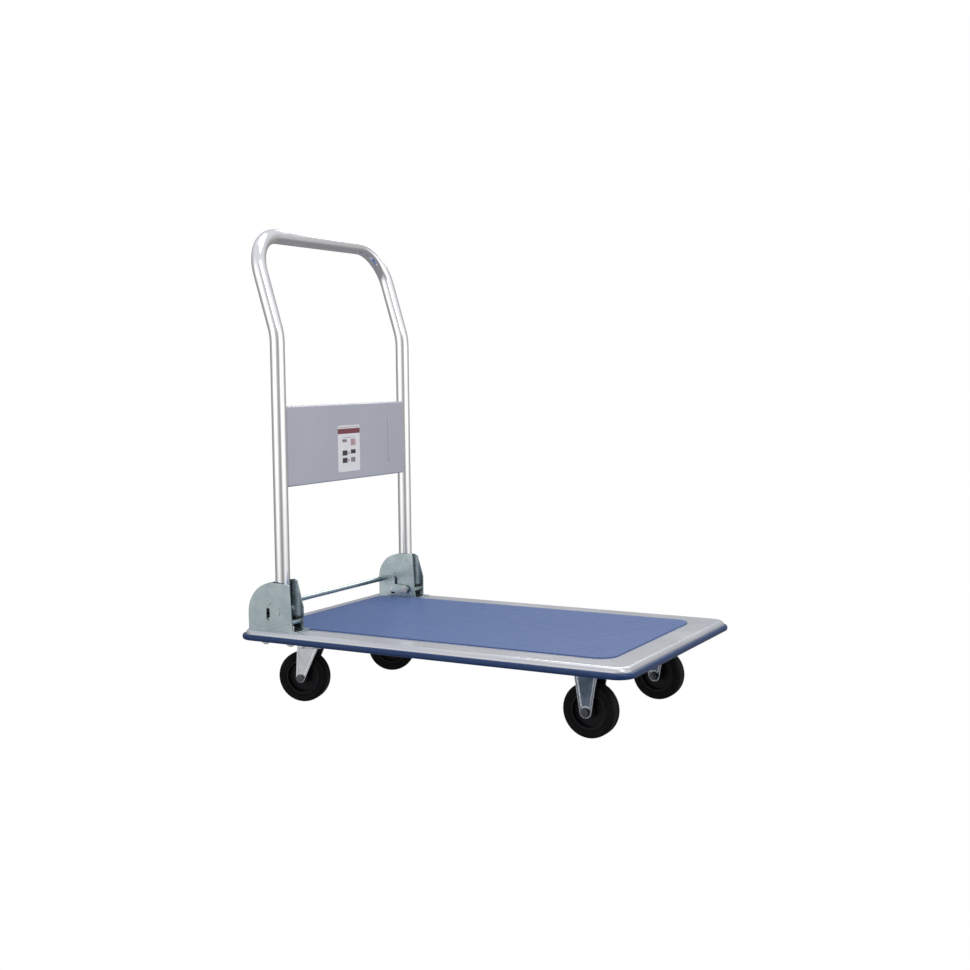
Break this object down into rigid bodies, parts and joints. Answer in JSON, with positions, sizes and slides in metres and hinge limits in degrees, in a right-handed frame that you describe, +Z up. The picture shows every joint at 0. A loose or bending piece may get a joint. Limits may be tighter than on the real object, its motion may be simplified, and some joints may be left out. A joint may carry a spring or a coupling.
{
  "type": "flatbed platform truck",
  "caption": "Low flatbed truck with a padded steel deck, soft edge bumper, fold-down tube handle with a panel, foot release bar, and rigid and swivel casters.",
  "frame": {"origin": "on the floor under the middle of the deck", "axes": "+X towards the load end, handle at -X; +Z up; +Y to the left of a person pushing"},
  "size_m": [0.74, 0.47, 0.8314],
  "materials": {
    "silver_deck": "silver hammer paint on pressed steel, slight gloss",
    "blue_mat": "fine-grained blue vinyl sheet",
    "blue_bumper": "moulded soft vinyl edge, satin",
    "zinc_bracket": "bright zinc plate with a faint green cast",
    "zinc_hardware": "zinc-plated fasteners and pins",
    "axle_steel": "black-oxide bolts and nuts",
    "spring_steel": "oiled spring wire",
    "bearing_steel": "polished balls",
    "caster_steel": "bright zinc-plated pressings",
    "chrome_tube": "satin bright-plated tube with fine drawing lines",
    "grey_panel": "smooth cool-grey enamel",
    "label_print": null,
    "plug_plastic": "black push-in plugs",
    "tyre_rubber": "solid black rubber",
    "core_plastic": "black moulded core",
    "bush_nylon": "natural nylon sleeve"
  },
  "bodies": {
    "truck_frame": {"deck_plate": "silver_deck", "deck_mat": "blue_mat", "edge_bumper": "blue_bumper", "front_crossmember": "silver_deck", "rear_crossmember": "silver_deck", "deck_rail_left": "silver_deck", "deck_rail_right": "silver_deck", "caster_bolts": "zinc_hardware", "caster_nuts": "zinc_hardware", "hinge_bolts": "zinc_hardware", "hinge_nuts": "zinc_hardware", "hinge_spacers": "zinc_hardware", "hinge_bracket_left": "zinc_bracket", "hinge_bracket_right": "zinc_bracket", "pivot_pins": "zinc_bracket", "stop_pins": "zinc_bracket", "fold_rest_pins": "zinc_bracket", "arm_pins": "zinc_hardware", "latch_springs": "spring_steel", "front_left_fork": "caster_steel", "front_right_fork": "caster_steel", "front_axle_bolts": "axle_steel", "front_axle_nuts": "axle_steel", "rear_left_swivel_plate": "caster_steel", "rear_right_swivel_plate": "caster_steel", "rear_left_kingpin": "zinc_hardware", "rear_right_kingpin": "zinc_hardware", "rear_left_swivel_balls": "bearing_steel", "rear_right_swivel_balls": "bearing_steel"},
    "handle": {"handle_tube": "chrome_tube", "tube_plugs": "plug_plastic", "pivot_bushes": "zinc_hardware", "handle_panel": "grey_panel", "panel_rivets": "zinc_hardware", "panel_label": "label_print"},
    "foot_release": {"release_rod": "zinc_bracket", "release_arm_left": "zinc_bracket", "release_arm_right": "zinc_bracket", "latch_pins": "zinc_hardware"},
    "front_left_wheel": {"front_left_tyre": "tyre_rubber", "front_left_wheel_core": "core_plastic", "front_left_wheel_bush": "bush_nylon"},
    "front_right_wheel": {"front_right_tyre": "tyre_rubber", "front_right_wheel_core": "core_plastic", "front_right_wheel_bush": "bush_nylon"},
    "rear_left_swivel": {"rear_left_fork": "caster_steel", "rear_left_axle_bolt": "axle_steel", "rear_left_axle_nut": "axle_steel"},
    "rear_left_wheel": {"rear_left_tyre": "tyre_rubber", "rear_left_wheel_core": "core_plastic", "rear_left_wheel_bush": "bush_nylon"},
    "rear_right_swivel": {"rear_right_fork": "caster_steel", "rear_right_axle_bolt": "axle_steel", "rear_right_axle_nut": "axle_steel"},
    "rear_right_wheel": {"rear_right_tyre": "tyre_rubber", "rear_right_wheel_core": "core_plastic", "rear_right_wheel_bush": "bush_nylon"}
  },
  "joints": [
    {"name": "handle_fold", "type": "hinge", "parent": "truck_frame", "child": "handle", "pos_m": [-0.2925, 0, 0.168], "axis": [0, 1, 0], "range_deg": [0, 90]},
    {"name": "foot_release_press", "type": "hinge", "parent": "truck_frame", "child": "foot_release", "pos_m": [-0.28, 0, 0.152], "axis": [0, -1, 0], "range_deg": [0, 12], "stiffness_Nm_per_rad": 1.2, "springref_deg": -28.65, "deforming": ["latch_springs"]},
    {"name": "front_left_wheel_spin", "type": "hinge", "parent": "truck_frame", "child": "front_left_wheel", "pos_m": [0.267, 0.143, 0.045], "axis": [0, 1, 0], "continuous": true},
    {"name": "front_right_wheel_spin", "type": "hinge", "parent": "truck_frame", "child": "front_right_wheel", "pos_m": [0.267, -0.143, 0.045], "axis": [0, 1, 0], "continuous": true},
    {"name": "rear_left_swivel_turn", "type": "hinge", "parent": "truck_frame", "child": "rear_left_swivel", "pos_m": [-0.265, 0.143, 0.1], "axis": [0, 0, 1], "continuous": true},
    {"name": "rear_left_wheel_spin", "type": "hinge", "parent": "rear_left_swivel", "child": "rear_left_wheel", "pos_m": [-0.28494, 0.1337, 0.045], "axis": [-0.4226, 0.9063, 0], "continuous": true},
    {"name": "rear_right_swivel_turn", "type": "hinge", "parent": "truck_frame", "child": "rear_right_swivel", "pos_m": [-0.265, -0.143, 0.1], "axis": [0, 0, 1], "continuous": true},
    {"name": "rear_right_wheel_spin", "type": "hinge", "parent": "rear_right_swivel", "child": "rear_right_wheel", "pos_m": [-0.28625, -0.14869, 0.045], "axis": [-0.2588, 0.9659, 0], "continuous": true}
  ]
}
